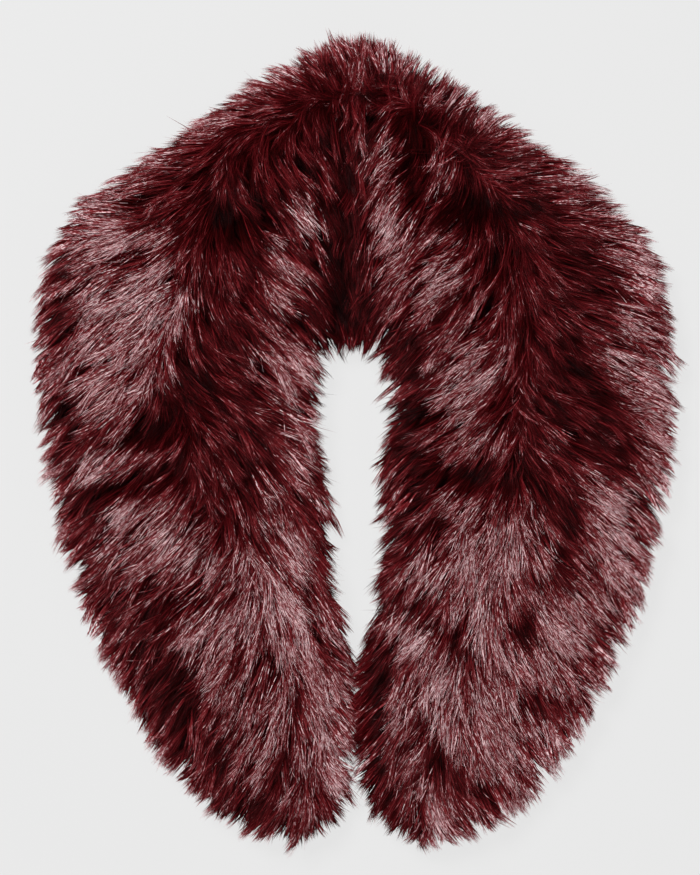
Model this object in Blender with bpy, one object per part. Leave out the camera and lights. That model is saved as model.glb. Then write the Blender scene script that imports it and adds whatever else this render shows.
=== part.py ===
"""A fur collar wrap, lying flat and closed, as solids at real size.

The collar is a horseshoe of long-pile fur cloth, cut as two mirrored halves that are sewn together at
the centre back. Each half has an upper panel, which shows, and an under panel, which it lies on. Pile
is part of the cloth here: an upper panel is a wall from its backing up to where the pile ends, and it
thins towards its edges, where the pile bends over them.

Metres, +Z up. The collar lies on z = 0 with the centre back at +Y and the two front ends at -Y. The
origin is the middle of its bounding box on the floor. Left and right are as seen from above.
"""

from dataclasses import dataclass

import bmesh
import bpy
import numpy as np

MM = 0.001

# Driving sizes, in millimetres.
SEAM_GAP = 0.3  # between two pieces that are sewn together or lie on each other
SEAM_X = -2.0  # the centre-back seam
FRONT_GAP = 0.8  # half the space between the pile of the two front ends, where they touch
UNDER_THICKNESS = 10.0  # the under panel: backing and pile, pressed flat
UNDER_EDGE = 4.0  # radius of the under panel's pressed edge
UNDER_INSET = 3.5  # how far the under panel stays inside the upper one
BACKING_Z = UNDER_THICKNESS + SEAM_GAP  # the underside of the upper panel

# The pile bulges between the edges like a flattened ellipse: 2 would be a true one.
SECTION_ROUNDNESS = 2.3

# Below its widest line, the pile at the edges turns in under the panel.
RIM_Z = 18.0  # height of the widest line
RIM_TUCK = 5.0  # how far in the backing's edge lies from it
RIM_STEPS = (0.0, 0.4, 0.75)  # turn of each row of points from the backing's edge, 1 being the widest line

# The pile parts into large locks, which fan out from the crest to both edges.
LOCK_PITCH = 21.0  # between locks, along an edge
LOCK_RISE = 3.0  # from the parting between two locks to a lock's back
LOCK_REACH = 3.4  # how far a lock's end stands out past the partings at the edge
LOCK_SWEEP = 70.0  # how far along the arm a lock runs between the crest and an edge
LOCK_WANDER = 9.0  # how far a lock strays from an even pitch
LOCK_START = (0.3, 0.75)  # share of the way from the crest to an edge over which the locks come up
EDGE_BAND = 0.22  # share of a section, from each edge, over which lock ends reach out

# Mesh density. Rows run from the centre back to the end, columns from the neck edge to the outer edge.
ROWS = 112
COLUMNS = 26
ROW_EASE = 1.3  # above 1, rows crowd together towards the rounded end
UNDER_ROW_STEP = 3  # the under panel's outline uses every third row


@dataclass(frozen=True)
class Station:
    """One section across a half: a straight line from the neck edge to the outer edge, in millimetres."""

    along: float  # share of the way from the centre back to the end
    outer: tuple[float, float]  # where the pile ends on the outer side, in plan
    inner: tuple[float, float]  # where it ends on the neck side
    crown: float  # height of the crest above the floor
    crest: float  # place of the crest, from 0 at the neck edge to 1 at the outer edge


@dataclass(frozen=True)
class Fold:
    """A soft trough or ridge on an upper panel: an arc through three points in plan, in millimetres."""

    start: tuple[float, float]
    middle: tuple[float, float]
    end: tuple[float, float]
    width: float  # from the line of the fold to where it has faded to a third
    rise: float  # height of a ridge, or below 0 the depth of a trough


STATIONS = {
    "left": (
        Station(0.00, outer=(-2, 249), inner=(-2, 57), crown=50, crest=0.74),
        Station(0.02, outer=(-13, 248), inner=(-3, 57), crown=51, crest=0.74),
        Station(0.05, outer=(-30, 243), inner=(-5, 56), crown=53, crest=0.75),
        Station(0.10, outer=(-55, 230), inner=(-9, 53), crown=55, crest=0.76),
        Station(0.20, outer=(-112, 194), inner=(-16, 46), crown=55, crest=0.72),
        Station(0.30, outer=(-161, 157), inner=(-19, 32), crown=52, crest=0.64),
        Station(0.38, outer=(-188, 122), inner=(-19, 14), crown=50, crest=0.58),
        Station(0.46, outer=(-200, 76), inner=(-18, -4), crown=50, crest=0.55),
        Station(0.54, outer=(-201, 35), inner=(-17, -22), crown=49, crest=0.52),
        Station(0.62, outer=(-196, -15), inner=(-15, -47), crown=49, crest=0.50),
        Station(0.70, outer=(-187, -62), inner=(-12, -75), crown=50, crest=0.50),
        Station(0.78, outer=(-171, -108), inner=(-5, -106), crown=50, crest=0.50),
        Station(0.86, outer=(-148, -157), inner=(-1, -146), crown=48, crest=0.50),
        Station(0.93, outer=(-116, -208), inner=(-1, -196), crown=44, crest=0.50),
        Station(0.97, outer=(-84, -239), inner=(-7, -231), crown=38, crest=0.50),
        Station(0.99, outer=(-63, -249), inner=(-18, -246), crown=30, crest=0.50),
        Station(1.00, outer=(-48, -252), inner=(-36, -252), crown=23, crest=0.50),
    ),
    "right": (
        Station(0.00, outer=(-2, 249), inner=(-2, 57), crown=50, crest=0.74),
        Station(0.02, outer=(9, 248), inner=(-1, 57), crown=51, crest=0.74),
        Station(0.05, outer=(26, 243), inner=(3, 56), crown=53, crest=0.75),
        Station(0.10, outer=(56, 230), inner=(7, 53), crown=54, crest=0.76),
        Station(0.20, outer=(109, 194), inner=(13, 46), crown=54, crest=0.72),
        Station(0.30, outer=(159, 157), inner=(16, 32), crown=52, crest=0.64),
        Station(0.38, outer=(185, 122), inner=(17, 14), crown=51, crest=0.58),
        Station(0.46, outer=(199, 76), inner=(16, -4), crown=50, crest=0.55),
        Station(0.54, outer=(201, 35), inner=(14, -22), crown=50, crest=0.52),
        Station(0.62, outer=(199, -15), inner=(13, -47), crown=50, crest=0.50),
        Station(0.70, outer=(190, -66), inner=(11, -75), crown=50, crest=0.50),
        Station(0.78, outer=(177, -108), inner=(6, -106), crown=50, crest=0.50),
        Station(0.86, outer=(157, -157), inner=(1, -146), crown=49, crest=0.50),
        Station(0.93, outer=(122, -208), inner=(1, -196), crown=46, crest=0.50),
        Station(0.97, outer=(88, -241), inner=(9, -232), crown=38, crest=0.50),
        Station(0.99, outer=(66, -251), inner=(22, -248), crown=30, crest=0.50),
        Station(1.00, outer=(51, -254), inner=(38, -254), crown=23, crest=0.50),
    ),
}

CENTRE_BACK_DART = Fold((-2, 206), (-2, 120), (-2, 50), width=11, rise=-13)

FOLDS = {
    "left": (
        CENTRE_BACK_DART,
        Fold((-159, -3), (-121, 13), (-81, 33), width=9, rise=-7),  # across the arm, outer half
        Fold((-81, 33), (-58, 30), (-28, 22), width=8, rise=-6),  # the same fold, neck half
        Fold((-168, -30), (-140, -23), (-108, -13), width=8, rise=-6.5),
        Fold((-163, -37), (-161, -55), (-157, -75), width=8, rise=-5),
        Fold((-87, -143), (-106, -161), (-128, -170), width=11, rise=-6),
        Fold((-95, 133), (-78, 137), (-60, 132), width=9, rise=-5),
        Fold((-12, 222), (-60, 208), (-112, 168), width=13, rise=4),  # the back's rolled crest
        Fold((-150, 90), (-138, 60), (-132, 30), width=22, rise=4),
        Fold((-92, -60), (-70, -95), (-58, -140), width=20, rise=4),
    ),
    "right": (
        CENTRE_BACK_DART,
        Fold((24, 196), (40, 194), (55, 199), width=8, rise=-7),
        Fold((61, 146), (80, 140), (89, 111), width=8, rise=-6),
        Fold((61, -18), (80, -32), (117, -24), width=9, rise=-7),  # across the arm
        Fold((43, -118), (58, -125), (89, -123), width=8, rise=-6),
        Fold((102, -117), (108, -125), (115, -135), width=6, rise=-4),
        Fold((125, -155), (108, -162), (92, -174), width=7, rise=-4),
        Fold((105, 100), (109, 56), (111, 13), width=9, rise=-5),  # the parting of the pile
        Fold((8, 222), (62, 212), (108, 172), width=13, rise=4),
        Fold((50, 100), (42, 60), (48, 20), width=18, rise=4),
        Fold((95, -60), (88, -85), (74, -108), width=20, rise=4),
    ),
}

FOLD_STEPS = 120  # points along a fold's arc that the distance to it is measured from
FUR_COLOUR = {"upper": (0.115, 0.012, 0.018, 1.0), "under": (0.075, 0.008, 0.012, 1.0)}
FUR_ROUGHNESS = 0.7


def smooth_through(knots, values, at):
    """Cubic Hermite curve through values at knots, with each slope that of the chord of its neighbours."""
    knots = np.asarray(knots, float)
    values = np.asarray(values, float)
    slopes = np.gradient(values, knots, axis=0)
    spot = np.clip(np.searchsorted(knots, at, side="right") - 1, 0, len(knots) - 2)
    span = knots[spot + 1] - knots[spot]
    t = (at - knots[spot]) / span
    if values.ndim > 1:
        t, span = t[:, None], span[:, None]
    return (
        (2 * t**3 - 3 * t**2 + 1) * values[spot]
        + (t**3 - 2 * t**2 + t) * span * slopes[spot]
        + (3 * t**2 - 2 * t**3) * values[spot + 1]
        + (t**3 - t**2) * span * slopes[spot + 1]
    )


def held_apart(side, edge_x):
    """An edge's x, kept off the centre-back seam and off the other half's front end."""
    if side == "left":
        return np.minimum(edge_x, -FRONT_GAP)
    return np.maximum(edge_x, FRONT_GAP)


def section_edges(side):
    """The ends of every row in plan, (outer, inner), with the crown and the crest's place there."""
    stations = STATIONS[side]
    knots = [station.along for station in stations]
    at = 1 - (1 - np.linspace(0, 1, ROWS + 1)) ** ROW_EASE
    outer, inner, crown, crest = (
        smooth_through(knots, [getattr(station, name) for station in stations], at)
        for name in ("outer", "inner", "crown", "crest")
    )
    toward = -1 if side == "left" else 1
    for edge in (outer, inner):
        edge[0, 0] = SEAM_X + toward * SEAM_GAP / 2
    inner[1:, 0] = held_apart(side, inner[1:, 0])
    return outer, inner, crown, crest


def distance_to_fold(fold, x, y):
    """How far each point is from the fold's arc in plan, and the share of the arc before its nearest point."""
    share = np.linspace(0, 1, FOLD_STEPS)[:, None]
    start, middle, end = (np.array(p, float) for p in (fold.start, fold.middle, fold.end))
    handle = 2 * middle - (start + end) / 2
    arc = (1 - share) ** 2 * start + 2 * share * (1 - share) * handle + share**2 * end
    away = np.hypot(x[..., None] - arc[:, 0], y[..., None] - arc[:, 1])
    return away.min(-1), away.argmin(-1) / (FOLD_STEPS - 1)


def fold_rise(side, x, y):
    """The height that all folds of a half add at each point: a bell across each fold, fading at its ends."""
    total = np.zeros_like(x)
    for fold in FOLDS[side]:
        away, share = distance_to_fold(fold, x, y)
        fade = 0.35 + 0.65 * np.sin(np.pi * share)
        total += fold.rise * fade * np.exp(-((away / fold.width) ** 2))
    return total


def run_length(edge):
    """How far along an edge each of its points is, from the centre back."""
    return np.concatenate([[0], np.cumsum(np.linalg.norm(np.diff(edge, axis=0), axis=1))])[:, None]


def lock_height(along, from_crest, phase):
    """How far up each point is on a lock, from 0 in a parting to 1 on its back.

    Locks are the bands of a stream function: distance along the edge they run to, less what a lock
    has swept between the crest and the point. Two slow waves make the bands uneven.
    """
    swept = LOCK_SWEEP * (1 - (1 - from_crest) ** 2)
    stray = np.sin(along / 33 + 2 * from_crest + phase) + np.sin(along / 13.7 - 3 * from_crest - phase)
    band = (along - swept + LOCK_WANDER / 2 * stray) / LOCK_PITCH
    back = np.abs(np.sin(np.pi * band)) ** 0.7
    first, last = LOCK_START
    start = np.clip((from_crest - first) / (last - first), 0, 1)
    return 1 - (1 - back) * start * start * (3 - 2 * start)


def upper_surface(side):
    """The outside of an upper panel as a grid of points, rows from the centre back, columns from the neck.

    The first and last columns run down from the widest line to the backing's edge.
    """
    outer, inner, crown, crest = section_edges(side)
    across = (1 - np.cos(np.linspace(0, np.pi, COLUMNS + 1))) / 2
    crest = crest[:, None]
    reach = np.where(across < crest, crest, 1 - crest)
    from_crest = np.minimum(np.abs(across - crest) / reach, 1)

    along = np.where(across < crest, run_length(inner), run_length(outer))
    phase = np.where(across < crest, 1.3, 0.0) + (2.1 if side == "left" else 0.0)
    lock = lock_height(along, from_crest, phase)
    span = outer - inner
    width = np.linalg.norm(span, axis=1)[:, None]
    at_edge = np.clip(1 - np.minimum(across, 1 - across) / EDGE_BAND, 0, 1)
    small_end = np.clip(width / 60, 0.25, 1)  # locks fade where a half narrows to its end
    drawn_in = LOCK_REACH * small_end * (1 - lock) * at_edge / width
    across = np.where(across < 0.5, across + drawn_in, across - drawn_in)
    x = inner[:, :1] + span[:, :1] * across
    y = inner[:, 1:] + span[:, 1:] * across

    bulge = (1 - from_crest**SECTION_ROUNDNESS) ** (1 / SECTION_ROUNDNESS)
    rise = (crown[:, None] - RIM_Z) + fold_rise(side, x, y) - LOCK_RISE * small_end * (1 - lock)
    top = np.stack([x, y, RIM_Z + bulge * rise], axis=-1)

    inward = (span / width)[:, None, :]
    turn = np.array(RIM_STEPS)[:, None] * np.pi / 2
    tuck = RIM_TUCK * np.minimum(width / 30, 1)[:, None] * (1 - np.sin(turn))
    low_z = np.broadcast_to(RIM_Z - (RIM_Z - BACKING_Z) * np.cos(turn), (ROWS + 1, len(turn), 1))
    neck_low = np.concatenate([top[:, :1, :2] + inward * tuck, low_z], axis=-1)
    outer_low = np.concatenate([top[:, -1:, :2] - inward * tuck, low_z], axis=-1)
    return np.concatenate([neck_low, top, outer_low[:, ::-1]], axis=1)


def inset(outline, distance):
    """A closed outline moved inwards by a distance along the normals at its points."""
    ahead = np.roll(outline, -1, axis=0) - np.roll(outline, 1, axis=0)
    normal = np.stack([-ahead[:, 1], ahead[:, 0]], axis=1)
    normal /= np.linalg.norm(normal, axis=1, keepdims=True)
    area = 0.5 * np.sum(outline[:, 0] * np.roll(outline[:, 1], -1) - outline[:, 1] * np.roll(outline[:, 0], -1))
    return outline + np.sign(area) * distance * normal


def fur_material(layer):
    """Long glossy pile, dyed burgundy: darker on the pressed under side."""
    material = bpy.data.materials.new(f"{layer}_fur")
    material.use_nodes = True
    shader = material.node_tree.nodes["Principled BSDF"]
    shader.inputs["Base Color"].default_value = FUR_COLOUR[layer]
    shader.inputs["Roughness"].default_value = FUR_ROUGHNESS
    shader.inputs["Metallic"].default_value = 0.0
    material.diffuse_color = FUR_COLOUR[layer]
    return material


def upper_panel(side, middle, collection, material):
    """One upper panel: the pile's surface lofted over its sections, closed by its flat backing."""
    grid = upper_surface(side) - middle
    mesh = bpy.data.meshes.new(f"upper_{side}")
    shape = bmesh.new()
    verts = [[shape.verts.new(point * MM) for point in row] for row in grid]
    for near, far in zip(verts, verts[1:]):
        for j in range(len(near) - 1):
            shape.faces.new((near[j], near[j + 1], far[j + 1], far[j]))
    shape.faces.new(verts[0][::-1])
    shape.faces.new(verts[-1])
    neck_edge = [row[0] for row in verts]
    outer_edge = [row[-1] for row in verts]
    shape.faces.new(neck_edge + outer_edge[::-1])
    bmesh.ops.recalc_face_normals(shape, faces=shape.faces)
    shape.to_mesh(mesh)
    shape.free()
    mesh.shade_smooth()
    mesh.set_sharp_from_angle(angle=np.radians(60))
    mesh.materials.append(material)
    panel = bpy.data.objects.new(f"upper_{side}", mesh)
    collection.objects.link(panel)
    return panel


def under_panel(side, middle, collection, material):
    """One under panel: a flat pressed layer with a rounded edge, cut a little smaller than the upper one."""
    outer, inner, _, _ = section_edges(side)
    outline = np.concatenate([inner[::UNDER_ROW_STEP], outer[::-UNDER_ROW_STEP]])
    outline = inset(outline, UNDER_INSET)
    toward = -1 if side == "left" else 1
    seam_x = SEAM_X + toward * SEAM_GAP / 2
    outline[[0, -1], 0] = seam_x
    outline = (outline - middle[:2]) * MM
    curve = bpy.data.curves.new(f"under_{side}", "CURVE")
    curve.dimensions = "2D"
    curve.fill_mode = "BOTH"
    curve.bevel_depth = UNDER_EDGE * MM
    curve.bevel_resolution = 2
    curve.extrude = (UNDER_THICKNESS / 2 - UNDER_EDGE) * MM
    curve.offset = -UNDER_EDGE * MM
    spline = curve.splines.new("POLY")
    spline.points.add(len(outline) - 1)
    for point, (x, y) in zip(spline.points, outline):
        point.co = (x, y, 0, 1)
    spline.use_cyclic_u = True
    curve.materials.append(material)
    panel = bpy.data.objects.new(f"under_{side}", curve)
    panel.location.z = UNDER_THICKNESS / 2 * MM
    collection.objects.link(panel)
    return panel


def middle_of_collar():
    """The middle of the upper panels' bounding box in plan, with 0 for z."""
    points = np.concatenate([upper_surface(side).reshape(-1, 3) for side in STATIONS])
    middle = (points.min(0) + points.max(0)) / 2
    middle[2] = 0
    return middle


def main():
    for obj in list(bpy.data.objects):
        bpy.data.objects.remove(obj)
    collection = bpy.data.collections.new("fur_collar_wrap")
    bpy.context.scene.collection.children.link(collection)
    middle = middle_of_collar()
    upper_fur = fur_material("upper")
    under_fur = fur_material("under")
    for side in STATIONS:
        under_panel(side, middle, collection, under_fur)
        upper_panel(side, middle, collection, upper_fur)


if __name__ == "__main__":
    main()
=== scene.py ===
"""A collar wrap of long burgundy fur, laid flat and closed with its front ends touching.

The collar has two mirrored halves, sewn together at the centre back, and each half has an upper and an
under panel of fur cloth. Here a panel is a thin sheet of backing, and its pile is strands that are
joined into a few meshes.

Tables are in millimetres, in plan as seen from above, with +Y towards the centre back. Meshes are in
metres, in the frame's own coordinates.
"""

import logging
from dataclasses import dataclass, field
from enum import Enum

import bpy
import numpy as np
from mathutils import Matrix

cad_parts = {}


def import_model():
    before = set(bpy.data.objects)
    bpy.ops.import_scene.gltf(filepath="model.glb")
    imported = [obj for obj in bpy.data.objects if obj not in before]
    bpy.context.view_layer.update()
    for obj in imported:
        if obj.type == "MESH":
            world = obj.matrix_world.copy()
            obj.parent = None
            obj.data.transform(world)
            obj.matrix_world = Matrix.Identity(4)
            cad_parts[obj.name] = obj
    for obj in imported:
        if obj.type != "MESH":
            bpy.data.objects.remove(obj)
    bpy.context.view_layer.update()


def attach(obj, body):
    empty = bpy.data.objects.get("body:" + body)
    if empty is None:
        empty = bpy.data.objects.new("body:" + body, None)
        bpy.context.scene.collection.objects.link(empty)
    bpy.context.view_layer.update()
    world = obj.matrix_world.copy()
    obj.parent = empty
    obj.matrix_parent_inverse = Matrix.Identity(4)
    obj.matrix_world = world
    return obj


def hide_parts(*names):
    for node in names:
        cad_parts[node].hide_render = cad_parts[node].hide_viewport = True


log = logging.getLogger("fur_collar_wrap")

Array = np.ndarray
Random = np.random.Generator
Pair = tuple[float, float]
Triple = tuple[float, float, float]

MM = 0.001
TABLE_MIDDLE = (-0.2, -2.7)  # the frame's origin in the tables' coordinates
PILE_MAP = "OFBake"  # the UV map that pile is coloured through: U is a strand's shade, V runs root to tip
BODY = "root"
SHORTEST = 1e-12  # length that a vector is divided by at least
OVAL_FADE = 0.7  # how far a patch has faded on its oval, as the power of an exponential


class Side(Enum):
    """A half of the collar, as seen from above."""

    LEFT = "left"
    RIGHT = "right"

    @property
    def sign(self) -> int:
        """-1 for the half towards -X, 1 for the other."""
        return -1 if self is Side.LEFT else 1


@dataclass(frozen=True)
class Section:
    """One section across a half, from the neck edge of the pile to its outer edge."""

    along: float  # share of the way from the centre back to the front end
    outer: Pair
    inner: Pair
    crown: float  # height of the pile's crest above the floor
    crest: float  # place of the crest, 0 at the neck edge and 1 at the outer edge


@dataclass(frozen=True)
class Comb:
    """How the pile is combed at a section: angles in degrees from the arm's own direction."""

    along: float
    neck_turn: float  # at the neck edge, turned towards the neck
    outer_turn: float  # at the outer edge, turned outwards
    parting: float  # where the pile parts, 0 at the neck edge and 1 at the outer edge
    softness: float  # share of the section over which it turns from one to the other


@dataclass(frozen=True)
class Trough:
    """A crease that the pile dips into: an arc through three points."""

    start: Pair
    middle: Pair
    end: Pair
    width: float
    depth: float


@dataclass(frozen=True)
class Patch:
    """An oval place on the pile with soft edges."""

    x: float
    y: float
    length: float  # half of the oval's long axis
    width: float  # half of its short axis
    turn: float  # direction of the long axis, in degrees from +X
    amount: float


@dataclass(frozen=True)
class Whorl:
    """A place where the pile lies in a direction of its own, in degrees from +X."""

    where: Patch
    heading: float


def entries(kind: type, *rows: tuple) -> tuple:
    """A table's rows as entries of a kind, with its fields in their order."""
    return tuple(kind(*row) for row in rows)


# Sections across each half: along, outer point, neck point, crown and crest.
SECTIONS = {
    Side.LEFT: entries(
        Section,
        (0.00, (-2, 249), (-2, 57), 50, 0.74), (0.02, (-13, 248), (-3, 57), 51, 0.74),
        (0.05, (-30, 243), (-5, 56), 53, 0.75), (0.10, (-55, 230), (-9, 53), 55, 0.76),
        (0.20, (-112, 194), (-16, 46), 55, 0.72), (0.30, (-161, 157), (-19, 32), 52, 0.64),
        (0.38, (-188, 122), (-19, 14), 50, 0.58), (0.46, (-200, 76), (-18, -4), 50, 0.55),
        (0.54, (-201, 35), (-17, -22), 49, 0.52), (0.62, (-196, -15), (-15, -47), 49, 0.50),
        (0.70, (-187, -62), (-12, -75), 50, 0.50), (0.78, (-171, -108), (-5, -106), 50, 0.50),
        (0.86, (-148, -157), (-1, -146), 48, 0.50), (0.93, (-116, -208), (-1, -196), 44, 0.50),
        (0.97, (-84, -239), (-7, -231), 38, 0.50), (0.99, (-63, -249), (-18, -246), 30, 0.50),
        (1.00, (-48, -252), (-36, -252), 23, 0.50),
    ),
    Side.RIGHT: entries(
        Section,
        (0.00, (-2, 249), (-2, 57), 50, 0.74), (0.02, (9, 248), (-1, 57), 51, 0.74),
        (0.05, (26, 243), (3, 56), 53, 0.75), (0.10, (56, 230), (7, 53), 54, 0.76),
        (0.20, (109, 194), (13, 46), 54, 0.72), (0.30, (159, 157), (16, 32), 52, 0.64),
        (0.38, (185, 122), (17, 14), 51, 0.58), (0.46, (199, 76), (16, -4), 50, 0.55),
        (0.54, (201, 35), (14, -22), 50, 0.52), (0.62, (199, -15), (13, -47), 50, 0.50),
        (0.70, (190, -66), (11, -75), 50, 0.50), (0.78, (177, -108), (6, -106), 50, 0.50),
        (0.86, (157, -157), (1, -146), 49, 0.50), (0.93, (122, -208), (1, -196), 46, 0.50),
        (0.97, (88, -241), (9, -232), 38, 0.50), (0.99, (66, -251), (22, -248), 30, 0.50),
        (1.00, (51, -254), (38, -254), 23, 0.50),
    ),
}

# The way pile is combed: along, turn at the neck, turn at the outer edge, parting and softness.
COMBS = {
    Side.LEFT: entries(
        Comb,
        (0.00, 90, 90, 0.80, 0.05), (0.05, 95, 80, 0.80, 0.10), (0.10, 100, 70, 0.80, 0.15),
        (0.20, 100, 60, 0.80, 0.25), (0.30, 90, 55, 0.65, 0.30), (0.38, 70, 50, 0.55, 0.20),
        (0.46, 60, 45, 0.55, 0.10), (0.54, 40, 50, 0.55, 0.10), (0.65, 25, 55, 0.40, 0.10),
        (0.75, 25, 60, 0.30, 0.15), (0.85, 25, 50, 0.25, 0.20), (1.00, 25, 55, 0.10, 0.35),
    ),
    Side.RIGHT: entries(
        Comb,
        (0.00, 105, 115, 0.75, 0.05), (0.05, 105, 100, 0.75, 0.05), (0.10, 100, 85, 0.75, 0.10),
        (0.20, 100, 65, 0.75, 0.20), (0.30, 90, 60, 0.65, 0.25), (0.38, 75, 60, 0.55, 0.20),
        (0.46, 60, 55, 0.50, 0.15), (0.54, 50, 60, 0.45, 0.10), (0.65, 40, 60, 0.45, 0.20),
        (0.75, 30, 60, 0.40, 0.30), (0.85, 30, 60, 0.35, 0.35), (1.00, 20, 60, 0.25, 0.50),
    ),
}

# Whorls, where a few locks lie another way than the pile around them.
WHORLS = {
    Side.LEFT: (
        Whorl(Patch(4, 211, 12, 9, 0, 1.0), heading=215),
        Whorl(Patch(-2, 58, 16, 12, 0, 0.7), heading=-80),
        Whorl(Patch(-165, 137, 20, 14, 30, 0.8), heading=176),
    ),
    Side.RIGHT: (
        Whorl(Patch(4, 211, 12, 9, 0, 1.0), heading=215),
        Whorl(Patch(23, 210, 20, 10, 0, 1.0), heading=190),
        Whorl(Patch(22, 192, 15, 9, 20, 1.0), heading=206),
        Whorl(Patch(60, 192, 15, 14, 0, 1.0), heading=77),
        Whorl(Patch(76, 196, 14, 14, 0, 0.9), heading=63),
        Whorl(Patch(60, 174, 9, 9, 0, 0.7), heading=268),
        Whorl(Patch(-2, 58, 16, 12, 0, 0.7), heading=-100),
        Whorl(Patch(170, 137, 20, 14, -30, 0.8), heading=16),
    ),
}

# Troughs: start, middle, end, width and depth.
CENTRE_BACK = ((-2, 206), (-2, 120), (-2, 50), 10, 13)
TROUGHS = {
    Side.LEFT: entries(
        Trough,
        CENTRE_BACK, ((-140, -2), (-117, 10), (-88, 36), 7, 13),
        ((-152, -29), (-134, -23), (-110, -17), 6, 13), ((-92, 139), (-80, 136), (-66, 140), 11, 10),
        ((-112, -88), (-103, -97), (-97, -106), 11, 9),
        ((-113, -150), (-108, -158), (-102, -165), 12, 9),
    ),
    Side.RIGHT: entries(
        Trough,
        CENTRE_BACK, ((26, 196), (38, 195), (52, 197), 7, 11), ((62, 147), (72, 146), (83, 143), 8, 9),
        ((78, 112), (85, 109), (91, 105), 8, 7), ((57, -18), (72, -24), (85, -30), 9, 10),
        ((29, -52), (41, -56), (52, -58), 8, 7), ((120, -75), (127, -81), (135, -88), 8, 9),
        ((51, -121), (58, -126), (63, -131), 8, 8), ((98, -117), (106, -122), (115, -129), 8, 8),
        ((99, -158), (106, -163), (113, -168), 8, 7), ((46, -194), (52, -200), (58, -206), 8, 7),
    ),
}

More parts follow.
